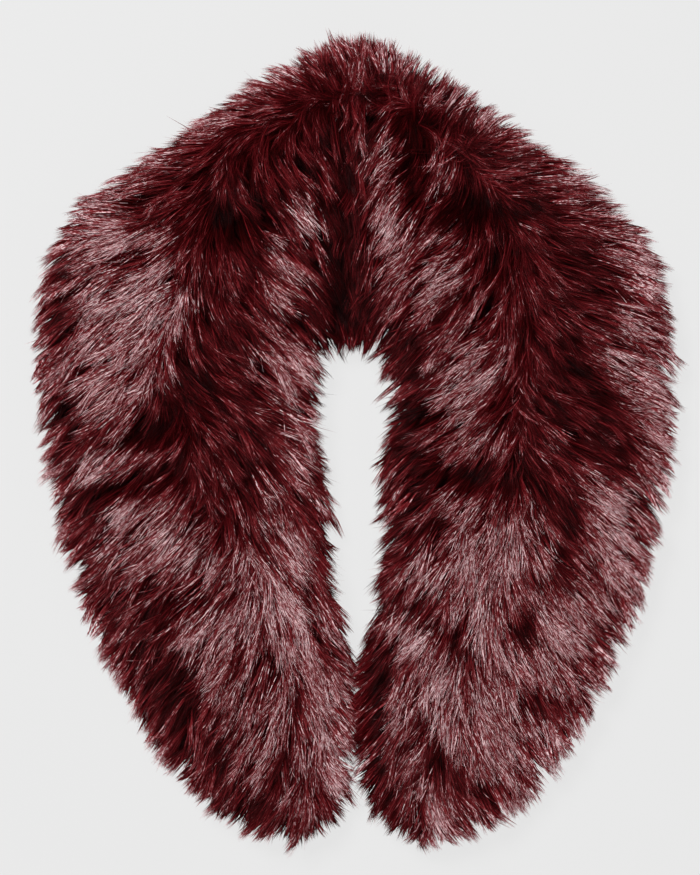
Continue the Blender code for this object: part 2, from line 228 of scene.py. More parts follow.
# Zones of painted sheen, with an amount above 0 as added brightness, and of painted shade where the
# pile lies in its own shade, with an amount below 0: x, y, length, width, turn and amount.
SHEEN_AND_SHADE_ZONES = {
    Side.LEFT: entries(
        Patch,
        (-115, 180, 85, 14, 39, 0.10), (-148, 80, 50, 26, 65, 0.35), (-146, 105, 12, 6, 20, -0.12),
        (-125, 92, 14, 9, 70, 0.15), (-156, 54, 18, 8, 35, 0.12), (-158, 128, 20, 13, 75, 0.24),
        (-115, 74, 20, 8, 50, 0.25), (-122, 38, 22, 7, 45, 0.12), (-158, 24, 22, 11, 50, 0.22),
        (-155, -16, 30, 10, 12, 0.25), (-122, -66, 40, 16, -18, 0.22), (-135, -43, 22, 6, 5, 0.24),
        (-106, -72, 24, 6, -40, 0.20), (-122, -124, 56, 30, -60, 0.05), (-26, 130, 18, 7, -65, 0.40),
        (-42, 108, 17, 7, -62, 0.36), (-51, 129, 9, 6, 0, -0.18), (-46, 82, 16, 6, -50, 0.22),
        (-36, 2, 60, 14, -72, 0.18), (-34, 50, 14, 8, -45, 0.24), (-38, -3, 11, 6, -50, 0.15),
        (-38, -68, 22, 9, -50, 0.26), (-53, -92, 22, 7, -50, 0.25), (-34, -122, 26, 9, -62, 0.28),
        (-18, -115, 16, 8, -70, 0.15), (-18, -164, 24, 9, -72, 0.24), (-14, -198, 20, 7, -78, 0.28),
        (-8, -144, 24, 5, -85, 0.15), (-56, -154, 94, 38, -78, 0.14), (-76, -114, 22, 10, 40, 0.12),
        (-98, -114, 26, 8, 75, 0.25), (-52, -185, 25, 6, 72, 0.10), (-116, 0, 20, 7, 20, -0.08),
        (-162, -40, 20, 7, 60, -0.15), (-178, 72, 16, 11, 60, -0.22), (-142, 104, 12, 6, 35, -0.20),
        (-76, -142, 12, 6, 30, -0.06), (-94, -64, 16, 6, 10, -0.10), (-105, -165, 38, 15, -68, -0.08),
        (-62, -232, 40, 10, -15, -0.10), (-22, -131, 14, 6, -75, -0.24), (-5, 88, 24, 10, 90, -0.08),
        (-77, 136, 28, 15, 15, -0.06), (0, 220, 30, 12, 90, -0.18), (-171, 17, 12, 10, 0, -0.15),
        (-50, 42, 16, 8, -10, 0.14), (-20, -45, 46, 9, -80, -0.12), (-72, -70, 9, 6, 0, -0.06),
        (-86, -94, 9, 8, 0, -0.12), (-26, -170, 11, 6, -70, -0.10), (-45, -196, 10, 5, 80, -0.12),
        (-61, -195, 10, 6, 80, 0.12), (-20, -78, 14, 6, -75, -0.12), (-55, 5, 13, 8, 60, -0.08),
        (-130, 131, 16, 8, 30, -0.10), (-109, 87, 11, 6, 60, -0.10), (-142, 117, 11, 5, 25, 0.28),
        (-154, 92, 8, 7, 0, 0.22), (-138, 15, 20, 7, 42, 0.12), (-125, 24, 10, 7, 60, -0.12),
        (-190, 22, 24, 8, 85, 0.10), (-98, -82, 8, 9, 90, 0.26), (-132, -43, 9, 6, 0, 0.16),
        (-118, -72, 11, 7, 90, -0.12), (-76, -100, 16, 6, -30, -0.10), (-52, -139, 9, 8, 0, 0.24),
        (-49, -33, 13, 7, -55, 0.12), (-35, 17, 11, 6, -60, 0.10), (-45, -84, 14, 6, -50, 0.12),
        (-9, -178, 26, 6, 86, 0.22), (-42, 231, 26, 10, 38, 0.10),
    ),
    Side.RIGHT: entries(
        Patch,
        (115, 180, 88, 16, -39, 0.16), (24, 125, 52, 20, 70, 0.15), (12, 166, 24, 7, 75, 0.14),
        (22, 126, 16, 8, 50, 0.20), (46, 66, 20, 10, 20, 0.04), (18, 138, 20, 7, 70, 0.16),
        (52, 114, 22, 10, 60, 0.14), (52, 91, 20, 8, 40, 0.20), (68, 46, 34, 17, 70, 0.20),
        (66, 2, 18, 10, 35, 0.12), (180, 54, 68, 16, -80, 0.22), (174, 114, 22, 10, -70, 0.10),
        (164, 45, 16, 8, -40, 0.15), (157, -50, 30, 9, -66, 0.36), (153, -76, 20, 8, -62, 0.15),
        (173, -34, 20, 10, 80, 0.26), (76, -86, 60, 32, 90, 0.22), (60, -80, 16, 7, 30, 0.08),
        (38, -80, 16, 9, 60, 0.15), (30, -118, 20, 7, -40, 0.28), (102, -88, 22, 7, 82, -0.14),
        (142, -105, 68, 26, -60, 0.16), (132, -108, 16, 10, 30, 0.20), (120, -132, 24, 8, 15, 0.20),
        (74, -185, 50, 42, 90, 0.18), (40, -152, 22, 12, 50, 0.20), (112, -184, 24, 9, -45, 0.15),
        (86, -198, 22, 8, 70, 0.10), (48, -230, 16, 6, -58, 0.25), (24, -204, 18, 6, -75, 0.06),
        (0, 220, 30, 12, 90, -0.18), (6, 97, 30, 9, 85, -0.08), (36, 162, 26, 9, 90, -0.15),
        (56, 134, 12, 6, 20, -0.15), (76, 142, 26, 12, -15, -0.08), (79, 67, 17, 7, -10, -0.12),
        (181, 70, 18, 8, 75, -0.14), (30, 8, 22, 12, 90, -0.06), (80, -24, 27, 9, -12, -0.15),
        (124, -44, 28, 9, -60, -0.12), (126, -80, 15, 10, 60, -0.12), (88, -50, 14, 10, -60, -0.10),
        (58, -126, 22, 8, -45, -0.18), (103, -117, 16, 8, 90, -0.12), (150, -128, 18, 8, 60, -0.08),
        (111, -164, 16, 6, 0, -0.10), (50, -195, 35, 6, -62, -0.12), (72, -212, 18, 8, -40, -0.15),
        (5, -165, 48, 9, 90, -0.28), (124, -140, 22, 14, -45, 0.14), (60, -188, 14, 6, 85, 0.12),
        (92, -204, 10, 6, -50, 0.10), (24, 234, 12, 9, 0, 0.22), (64, 184, 16, 9, 90, -0.10),
        (28, 126, 20, 7, 85, -0.10), (49, 193, 12, 8, 45, -0.08), (27, 156, 13, 8, 80, -0.12),
        (170, -64, 12, 6, -35, -0.14), (179, -10, 10, 6, 30, -0.12), (178, -33, 10, 7, -45, 0.20),
        (22, -30, 12, 8, 80, -0.06), (12, 112, 8, 6, 60, 0.10), (62, 202, 22, 9, -35, 0.12),
        (14, 200, 10, 7, 0, 0.08), (58, 158, 12, 9, 90, 0.08), (166, 117, 24, 9, -45, 0.20),
        (168, 62, 14, 6, -30, 0.14), (184, 14, 26, 7, 85, 0.18), (170, 44, 14, 6, -20, 0.12),
        (83, 36, 12, 6, 30, 0.10), (111, -56, 11, 6, 90, 0.10), (157, -90, 18, 6, -50, 0.14),
        (68, -111, 11, 6, 90, 0.12), (30, -180, 26, 6, -60, 0.12), (105, -188, 13, 7, 0, 0.22),
        (89, -117, 12, 7, 90, 0.10), (4, -198, 10, 7, 90, -0.12), (138, -172, 22, 8, 55, 0.08),
        (34, -142, 20, 5, -75, 0.10), (58, -86, 7, 7, 0, 0.08),
    ),
}

# How much further than elsewhere the pile's tips reach past the outline, in millimetres.
REACH = entries(
    Patch,
    (0, 252, 34, 14, 0, 5.0), (-26, 245, 12, 10, 0, 3.0), (50, 231, 12, 10, -25, 5.0),
    (22, 243, 10, 9, 0, -3.0), (-2, 54, 18, 8, 0, 5.0), (28, 26, 9, 18, 0, 9.0),
    (20, 46, 9, 9, 0, 3.0), (-27, 30, 8, 14, 0, 8.0), (-18, 46, 6, 8, 0, 3.0),
    (-18, -30, 8, 24, 0, 3.0), (18, -28, 8, 24, 0, 5.0), (186, 108, 10, 18, 15, 8.0),
    (-180, 130, 14, 20, -25, 7.0), (0, -112, 26, 10, 90, -4.5), (0, -154, 16, 10, 90, 9.0),
    (0, -178, 18, 11, 90, 10.0), (0, -194, 9, 9, 90, 4.0), (-2, -206, 10, 8, 90, 4.0),
    (-8, -232, 16, 8, 70, 4.0), (8, -228, 14, 6, -70, 3.0), (-112, -206, 44, 14, -50, 3.0),
    (108, -220, 38, 14, 45, 4.0), (-127, 184, 48, 12, 35, -5.5), (125, 180, 48, 12, -36, -5.5),
    (126, -196, 12, 10, 45, 3.0), (48, -254, 12, 8, 0, 4.0), (-36, -252, 26, 8, 5, 2.5),
)


def smooth_through(knots: Array, values: Array, at: Array) -> Array:
    """Cubic Hermite curve through values at knots, each slope being that of the chord of its neighbours.

    Args:
        knots: rising parameter values.
        values: a value, or a row of values, at each knot.
        at: where to read the curve, in any shape.

    Returns:
        The curve at each place, with the values' own axis last.
    """
    knots = np.asarray(knots, float)
    values = np.asarray(values, float)
    slopes = np.gradient(values, knots, axis=0)
    spot = np.clip(np.searchsorted(knots, at, side="right") - 1, 0, len(knots) - 2)
    span = knots[spot + 1] - knots[spot]
    t = (at - knots[spot]) / span
    if values.ndim > 1:
        t, span = t[..., None], span[..., None]
    return (
        (2 * t**3 - 3 * t**2 + 1) * values[spot]
        + (t**3 - 2 * t**2 + t) * span * slopes[spot]
        + (3 * t**2 - 2 * t**3) * values[spot + 1]
        + (t**3 - t**2) * span * slopes[spot + 1]
    )


def ease(x: Array) -> Array:
    """Smooth step: 3x² - 2x³ with x held between 0 and 1."""
    x = np.clip(x, 0, 1)
    return x * x * (3 - 2 * x)


def unit(vectors: Array) -> Array:
    """Vectors over their own lengths, along the last axis."""
    return vectors / np.maximum(np.linalg.norm(vectors, axis=-1, keepdims=True), SHORTEST)


def turned(vectors: Array, angle: Array) -> Array:
    """Plan vectors turned anticlockwise by an angle in radians."""
    c, s = np.cos(angle), np.sin(angle)
    x, y = vectors[..., 0], vectors[..., 1]
    return np.stack([c * x - s * y, s * x + c * y], axis=-1)


def ripple(plan: Array, wavelength: float, seed: int, waves: int = 6) -> Array:
    """Uneven waves over the plan, about -1 to 1: the mean of sines in random directions, doubled.

    Args:
        plan: points in plan, in millimetres.
        wavelength: the middle wavelength in millimetres.
        seed: sets the directions and phases.
        waves: the number of sines.

    Returns:
        A number for each point.
    """
    rng = np.random.default_rng(seed)
    heading = rng.uniform(0, 2 * np.pi, waves)
    pace = 2 * np.pi / (wavelength * rng.uniform(0.7, 1.4, waves))
    phase = rng.uniform(0, 2 * np.pi, waves)
    across = plan[..., :1] * np.cos(heading) + plan[..., 1:2] * np.sin(heading)
    return 2 * np.sin(across * pace + phase).mean(-1)


def patch_sum(patches: tuple[Patch, ...], plan: Array) -> Array:
    """Sum of the patches' amounts at each point: each fades with the cube of r, which is 1 on its oval."""
    total = np.zeros(plan.shape[:-1])
    for patch in patches:
        turn = np.radians(patch.turn)
        dx, dy = plan[..., 0] - patch.x, plan[..., 1] - patch.y
        r = np.hypot(
            (dx * np.cos(turn) + dy * np.sin(turn)) / patch.length,
            (dy * np.cos(turn) - dx * np.sin(turn)) / patch.width,
        )
        total += patch.amount * np.exp(-(r**3) * OVAL_FADE)
    return total


@dataclass
class HalfShape:
    """The form of one half of the collar: the outline and height of its pile, and the way it is combed."""

    side: Side
    rim_z: float = 18.0  # height of the pile where it reaches its outline
    roundness: float = 2.3  # of the section's bulge: 2 would be an ellipse
    arm_length: float = 430.0  # of the half along its middle
    seam_crossing: float = 5.0  # how far pile leans over the centre seam before it counts as outside
    slope_step: float = 0.004  # of s, each way, that slopes along the arm are measured over
    heading_step: float = 0.03  # the same for the arm's own direction
    least_cell: float = 400.0  # square millimetres that a unit of s and w is taken to cover at least
    forward_lean: float = -0.1  # how far the arm leans away from the middle line at its front end
    comb_limits: Pair = (-0.1, 1.1)  # of w, past which the comb stays the same
    comb_waves: tuple[Triple, ...] = ((4, 60, 3), (5, 26, 4))  # degrees, length, seed
    trough_steps: int = 60
    trough_ends: float = 0.45  # share of its depth that a trough keeps at its ends
    knots: Array = field(init=False)
    table: Array = field(init=False)  # outer x, outer y, inner x, inner y, crown, crest

    def __post_init__(self) -> None:
        """Puts the sections' table into arrays."""
        sections = SECTIONS[self.side]
        self.knots = np.array([s.along for s in sections])
        self.table = np.array([(*s.outer, *s.inner, s.crown, s.crest) for s in sections], float)

    def edges(self, s: Array) -> tuple[Array, Array]:
        """The outer and the neck edge in plan at s, from 0 at the centre back to 1 at the front end."""
        row = smooth_through(self.knots, self.table, np.clip(s, 0, 1))
        return row[..., :2], row[..., 2:4]

    def plan(self, s: Array, w: Array) -> Array:
        """The point at s and w: the neck edge plus w times the way to the outer edge.

        Past either end of the half, the end section is moved on in the arm's direction.
        """
        outer, inner = self.edges(s)
        past = (s - np.clip(s, 0, 1)) * self.arm_length
        return inner + (outer - inner) * w[..., None] + self.ends_heading(s) * past[..., None]

    def ends_heading(self, s: Array) -> Array:
        """The arm's direction at the end that s is nearer to."""
        outwards = np.array([self.side.sign, 0.0])
        forwards = np.array([self.forward_lean * self.side.sign, -1.0])
        return np.where((s < 0.5)[..., None], outwards, unit(forwards))

    def steps(self, s: Array, w: Array) -> tuple[Array, Array]:
        """How the plan moves with s and with w there, by central difference."""
        step = self.slope_step
        by_s = (self.plan(s + step, w) - self.plan(s - step, w)) / (2 * step)
        outer, inner = self.edges(s)
        return by_s, outer - inner

    def in_section(self, s: Array, w: Array, move: Array) -> Array:
        """A move in plan as changes of s and w, by solving move = ds by_s + dw by_w."""
        by_s, by_w = self.steps(s, w)
        det = by_s[..., 0] * by_w[..., 1] - by_s[..., 1] * by_w[..., 0]
        least = np.where(det < 0, -self.least_cell, self.least_cell)
        det = np.where(np.abs(det) < self.least_cell, least, det)
        ds = (move[..., 0] * by_w[..., 1] - move[..., 1] * by_w[..., 0]) / det
        dw = (by_s[..., 0] * move[..., 1] - by_s[..., 1] * move[..., 0]) / det
        return np.stack([ds, dw], axis=-1)

    def heading(self, s: Array) -> Array:
        """The arm's own direction at s: that of the line midway between its edges."""
        step = self.heading_step
        low, high = np.clip(s - step, 0, 1 - step), np.clip(s + step, step, 1)
        half = np.full(np.shape(s), 0.5)
        return unit(self.plan(high, half) - self.plan(low, half))

    def combed(self, s: Array, w: Array, plan: Array) -> Array:
        """The direction in plan that pile is combed in.

        The turn from the arm's direction goes from minus the neck turn to the outer turn as the tanh
        of the distance from the parting. Uneven waves of two lengths are added to it, and whorls last.
        """
        names = ("neck_turn", "outer_turn", "parting", "softness")
        combs = COMBS[self.side]
        rows = [[getattr(comb, name) for name in names] for comb in combs]
        values = smooth_through([comb.along for comb in combs], rows, np.clip(s, 0, 1))
        neck, outer, parting, softness = np.moveaxis(values, -1, 0)
        swing = np.tanh((np.clip(w, *self.comb_limits) - parting) / softness)
        turn = np.where(swing < 0, neck, outer) * swing
        for degrees, wavelength, seed in self.comb_waves:
            turn = turn + degrees * ripple(plan, wavelength, seed)
        way = turned(self.heading(s), np.radians(turn) * self.side.sign)
        for whorl in WHORLS[self.side]:
            share = np.clip(patch_sum((whorl.where,), plan), 0, 1)[..., None]
            heading = np.radians(whorl.heading)
            way = way * (1 - share) + share * np.array([np.cos(heading), np.sin(heading)])
        return unit(way)

    def dip(self, plan: Array) -> Array:
        """How far the pile's top dips into troughs: a bell across each arc, fading at its ends."""
        total = np.zeros(plan.shape[:-1])
        share = np.linspace(0, 1, self.trough_steps)[:, None]
        for trough in TROUGHS[self.side]:
            start, middle, end = (np.array(p, float) for p in (trough.start, trough.middle, trough.end))
            handle = 2 * middle - (start + end) / 2
            arc = (1 - share) ** 2 * start + 2 * share * (1 - share) * handle + share**2 * end
            away = np.hypot(plan[..., :1] - arc[:, 0], plan[..., 1:2] - arc[:, 1])
            nearest = away.argmin(-1) / (self.trough_steps - 1)
            fade = self.trough_ends + (1 - self.trough_ends) * np.sin(np.pi * nearest)
            total += trough.depth * fade * np.exp(-((away.min(-1) / trough.width) ** 2))
        return total

    def top(self, s: Array, w: Array, dip: Array | float = 0.0) -> Array:
        """Height of the pile's top: the rim plus a flattened ellipse up to the crown, less the dip."""
        row = smooth_through(self.knots, self.table, np.clip(s, 0, 1))
        crown, crest = row[..., 4], row[..., 5]
        reach = np.where(w < crest, crest, 1 - crest)
        away = np.clip(np.abs(w - crest) / reach, 0, 1)
        bulge = (1 - away**self.roundness) ** (1 / self.roundness)
        return self.rim_z + bulge * (crown - self.rim_z - dip)

    def beyond(self, s: Array, w: Array) -> Array:
        """How far outside the pile's outline a point is, in millimetres; below 0 it is inside."""
        by_s, by_w = self.steps(np.clip(s, 0, 1), np.clip(w, 0, 1))
        across = np.abs(by_s[..., 0] * by_w[..., 1] - by_s[..., 1] * by_w[..., 0])
        across /= np.maximum(np.linalg.norm(by_s, axis=-1), 1)
        sideways = np.maximum(w - 1, -w) * across
        ends = np.maximum((s - 1) * self.arm_length, -s * self.arm_length - self.seam_crossing)
        return np.maximum(sideways, ends)


def unit_grid(rows: int, columns: int) -> list[Array]:
    """Two arrays over a grid: one runs from 0 to 1 along its rows' order, the other along its columns'."""
    return np.meshgrid(np.linspace(0, 1, rows), np.linspace(0, 1, columns), indexing="ij")


def cell_areas(plan: Array) -> Array:
    """Area of each cell of a grid of plan points: half the cross product of its diagonals."""
    a, b = plan[1:, 1:] - plan[:-1, :-1], plan[1:, :-1] - plan[:-1, 1:]
    return np.abs(a[..., 0] * b[..., 1] - a[..., 1] * b[..., 0]) / 2


def grid_faces(rows: int, columns: int) -> Array:
    """Quads over a grid of points numbered row by row, as four corner numbers each."""
    at = np.arange(rows * columns).reshape(rows, columns)
    return np.stack([at[:-1, :-1], at[:-1, 1:], at[1:, 1:], at[1:, :-1]], axis=-1).reshape(-1, 4)


def new_object(name: str, points: Array, corners: Array, sides: Array) -> bpy.types.Object:
    """An object from arrays.

    Args:
        name: its name.
        points: vertices in metres.
        corners: the vertex of every face corner, face after face.
        sides: the number of corners of each face.

    Returns:
        The object, linked to the scene.
    """
    mesh = bpy.data.meshes.new(name)
    mesh.vertices.add(len(points))
    mesh.vertices.foreach_set("co", points.astype(np.float32).ravel())
    mesh.loops.add(len(corners))
    mesh.loops.foreach_set("vertex_index", corners.astype(np.int32))
    mesh.polygons.add(len(sides))
    mesh.polygons.foreach_set("loop_start", (np.cumsum(sides) - sides).astype(np.int32))
    mesh.update(calc_edges=True)
    made = bpy.data.objects.new(name, mesh)
    bpy.context.scene.collection.objects.link(made)
    return made


@dataclass
class Backing:
    """The backing of a panel: a thin sheet of cloth, inside the reach of its pile."""

    shape: HalfShape
    margin: float = 22.0  # from the pile's outline to the cloth's edge
    last: float = 0.958  # share of the arm at which the cloth ends
    low_z: float = 12.4  # height of the cloth's top at its edge
    crown_share: float = 0.3  # of the pile's own bulge that the cloth follows
    bulge_start: float = 8.0  # height of that bulge at which the cloth is as high as at its edge
    thickness: float = 1.8
    rounded: float = 0.12  # share of its length over which its front end rounds off
    end_narrowing: float = 0.8  # of the square of its width, lost by its very end
    rows: int = 52
    columns: int = 15
    cut_grid: tuple[int, int] = (120, 40)  # points along and across that its cut is measured over
    sharp_angle: float = 50.0  # degrees between faces, above which an edge is sharp

    def section(self, u: Array, v: Array) -> tuple[Array, Array]:
        """The collar's s and w at u and v of the cloth.

        s is u times the last share. w runs between margins, which widen towards the front end so that
        it is round.
        """
        s = u * self.last
        outer, inner = self.shape.edges(s)
        width = np.linalg.norm(outer - inner, axis=-1)
        late = np.clip((u - 1 + self.rounded) / self.rounded, 0, 1)
        share = (1 - 2 * self.margin / width) * np.sqrt(1 - self.end_narrowing * late**2)
        return s, 0.5 + (v - 0.5) * share

    def inside(self, s: Array, w: Array) -> tuple[Array, Array]:
        """The place on the cloth that is nearest to s and w."""
        u = np.clip(s / self.last, 0, 1)
        _, far = self.section(u, np.ones_like(u))
        return u * self.last, np.clip(w, 1 - far, far)

    def height(self, s: Array, w: Array) -> Array:
        """Height of the cloth's top in millimetres: its edge plus a share of the pile's bulge."""
        bulge = self.shape.top(s, w) - self.shape.rim_z
        return self.low_z + self.crown_share * (bulge - self.bulge_start)

    def flat_cut(self) -> Triple:
        """Width and length in metres and area in square metres of the piece as cut, from its plan."""
        plan = self.shape.plan(*self.section(*unit_grid(*self.cut_grid))) * MM
        width, length = np.ptp(plan.reshape(-1, 2), axis=0)
        return float(width), float(length), float(cell_areas(plan).sum())

    def build(self, name: str) -> bpy.types.Object:
        """The sheet as a closed shell: a grid on top, the same grid a thickness lower, and a rim."""
        s, w = self.section(*unit_grid(self.rows, self.columns))
        plan = self.shape.plan(s, w) - TABLE_MIDDLE
        z = self.height(s, w)
        top = np.concatenate([plan, z[..., None]], axis=-1).reshape(-1, 3)
        count = len(top)
        points = np.concatenate([top, top - (0, 0, self.thickness)]) * MM
        upper = grid_faces(self.rows, self.columns)
        at = np.arange(count).reshape(self.rows, self.columns)
        ring = np.concatenate([at[0], at[1:-1, -1], at[-1, ::-1], at[-2:0:-1, 0]])
        after = np.roll(ring, -1)
        wall = np.stack([after, ring, ring + count, after + count], axis=-1)
        faces = np.concatenate([upper, upper[:, ::-1] + count, wall])
        if self.shape.side is Side.RIGHT:
            faces = faces[:, ::-1]
        made = new_object(name, points, faces.ravel(), np.full(len(faces), 4))
        made.data.shade_smooth()
        made.data.set_sharp_from_angle(angle=np.radians(self.sharp_angle))
        return made


@dataclass
class Strands:
    """A coat's strands: how they are grouped, how each differs from its lock's middle, and its points.

    Places in a lock or wisp are across and forward, with 1 for its radius. What is known point by point
    has a row for each strand, root first.
    """

    t: Array  # share of a strand at each of its points
    lock: Array  # the lock that each strand is in
    wisp: Array  # the wisp that each is in
    wisp_at: Array  # its wisp's place in the lock
    strand_at: Array  # its own place in the wisp
    tooth: Array  # how far its lock is drawn into a tooth, 0 to 1
    sway: Array  # how far its tip strays sideways, in millimetres
    full: Array  # its length as a share of its lock's
    thickness: Array
    plan: Array = field(init=False)  # of each point, in millimetres
    place: Array = field(init=False)  # the same as s and w
    beyond: Array = field(init=False)  # how far outside the pile's outline the point is
    dip: Array = field(init=False)  # how far the pile's top dips there
    z: Array = field(init=False)
    buried: Array = field(init=False)  # share of the pile's depth that the point is down

    @property
    def inside(self) -> Array:
        """How far in from the outline each point is, and 0 outside it."""
        return np.maximum(-self.beyond, 0)


@dataclass(frozen=True)
class PaintedPileShade:
    """Painted light and shade on pile, 0 to 1: by its zone, its depth, its place in a lock, and at the
    outline.
    """

    share: float = 1.0  # painted shade: brightness of this pile against that of other coats, away from the outline
    plain: float = 0.155  # brightness of pile without painted sheen
    limits: Pair = (0.065, 0.7)  # of a zone's brightness
    zone_share: float = 1.0  # of the zones' painted sheen and shade that this pile has
    sheen_range: float = 0.2  # how much painted sheen brightens pile over plain pile, at its fullest
    gain: Pair = (1.29, 0.19)  # of the brightness, for plain pile and added by painted sheen
    mottle: tuple[float, float, int] = (0.1, 30, 11)  # share, wavelength and seed of uneven waves in it
    lock_spread: Pair = (0.30, -0.10)  # of a lock's brightness: plain, and added by painted sheen
    wisp_spread: Pair = (0.50, -0.32)  # the same for a wisp in its lock
    strand_spread: Pair = (0.34, 0.36)  # the same for a strand in its wisp
    highlight_streak: Pair = (0.75, 0.7)  # painted highlight: brightness along a strand, and added where it is brightest
    streak_length: float = 0.3  # of the painted highlight, as a share of the strand
    streak_places: Pair = (0.45, 1.0)  # where along a strand its painted highlight may be
    depth_fade: float = 2.2  # fading of light from top to root, as the power of an exponential
    side_light: float = 22.0  # how far in from the outline light also comes from the side
    edge_depth: float = 0.12  # share of its depth that still counts at the outline
    dip_fade: float = 13.0  # millimetres of dip that divide light by e
    lock_side: float = 0.3  # light lost from a lock's middle to its side
    wisp_middle: float = 1.08
    wisp_side: float = 0.4  # light lost from a wisp's middle to its side
    rim_light: float = 0.36  # painted rim light: brightness of tips at the outer edge of the back
    rim_neck: float = 0.67  # of that, at the neck edge
    rim_front: float = 0.85  # of that, added at the outer edge of the front arms
    rim_share: float = 0.85  # how fully tips at the outline take that painted rim light, whatever their zone
    rim_reach: float = 8.5  # how far in from the outline it goes
    rim_turn: float = 60.0  # of Y, across 0, over which the back's rim becomes the front's
    rim_evenness: float = 0.4  # how much less strands differ there
    cap: Triple = (0.40, 1.2, 0.4)  # soft limit: plain, added by painted sheen and by painted rim light

    def zone(self, side: Side, plan: Array) -> Array:
        """Brightness of pile in its zones, with their painted sheen and shade: plain pile's plus the
        zones' amounts.
        """
        return np.clip(self.plain + self.zone_share * patch_sum(SHEEN_AND_SHADE_ZONES[side], plan), *self.limits)

    def painted_sheen(self, zone: Array) -> Array:
        """How much painted sheen pile of a zone's brightness has, 0 to 1."""
        return ease((zone - self.plain) / self.sheen_range)

    def light(self, strands: Strands) -> Array:
        """Painted light on each point: painted shade at depth, in a dip, and at the sides of a lock and a
        wisp.
        """
        inside = strands.inside
        depth = self.edge_depth + (1 - self.edge_depth) * ease(inside / self.side_light)
        light = np.exp(-self.depth_fade * (strands.buried * depth) - strands.dip / self.dip_fade)
        light = light * (1 - self.lock_side * strands.wisp_at[:, :1] ** 2)
        light = light * (self.wisp_middle - self.wisp_side * strands.strand_at[:, :1] ** 2)
        # painted shade on a darker coat, fading out towards the outline
        return light * (self.share + (1 - self.share) * np.exp(-inside / self.rim_reach))

    def painted_rim_light(self, strands: Strands) -> Array:
        """Painted rim light on tips at the outline, by w from neck to outer edge and by y from front to
        back.
        """
        outer = ease(2 * strands.place[..., 1] - 0.5)
        front = 1 - ease(strands.plan[..., 1] / self.rim_turn + 0.5)
        return self.rim_light * (self.rim_neck + (1 - self.rim_neck + self.rim_front * front) * outer)

    def of(self, strands: Strands, side: Side, rng: Random) -> Array:
        """Brightness of each strand at each of its points.

        Locks, wisps and strands each differ by the exponential of a normal number. A strand has a painted
        highlight at a place of its own along it, by exp(-d²) of the distance. Towards the outline it
        blends into painted rim light. Last, x becomes x / (1 + (x / cap)⁴)^¼, so that a plain strand stays
        below its cap.

        Args:
            strands: the coat's strands.
            side: the half that they are on.
            rng: for how they differ.
        """
        near_tip = strands.plan[:, -2]
        zone = self.zone(side, near_tip)
        painted_sheen = self.painted_sheen(zone)
        share, wavelength, seed = self.mottle
        mottle = 1 + share * ripple(near_tip, wavelength, seed)
        base = zone * mottle * (self.gain[0] + self.gain[1] * painted_sheen)
        # Locks, wisps and strands differ at random; strands more, and wisps and locks less, where there is
        # painted sheen.
        spread = 0.0
        groups = (self.lock_spread, strands.lock), (self.wisp_spread, strands.wisp)
        for (plain, with_sheen), group in (*groups, (self.strand_spread, np.arange(len(zone)))):
            spread = spread + (plain + with_sheen * painted_sheen) * rng.normal(0, 1, group[-1] + 1)[group]
        # painted highlight along each strand, brightest at a place of its own
        brightest = rng.uniform(*self.streak_places, len(zone))[:, None]
        highlight_streak = np.exp(-(((strands.t - brightest) / self.streak_length) ** 2))
        highlight_streak = self.highlight_streak[0] + self.highlight_streak[1] * highlight_streak
        # painted rim light: how fully each point takes it, fading in from the outline
        rim_light = self.rim_share * np.exp(-strands.inside / self.rim_reach)
        plain_cap, frost_cap, rim_cap = self.cap
        cap = plain_cap + frost_cap * painted_sheen[:, None] + rim_cap * rim_light
        spread = np.exp(spread[:, None] * (1 - self.rim_evenness * rim_light))
        shade = base[:, None] * (1 - rim_light) + self.painted_rim_light(strands) * rim_light
        shade = shade * spread * highlight_streak * self.light(strands)
        return shade / (1 + (shade / cap) ** 4) ** 0.25


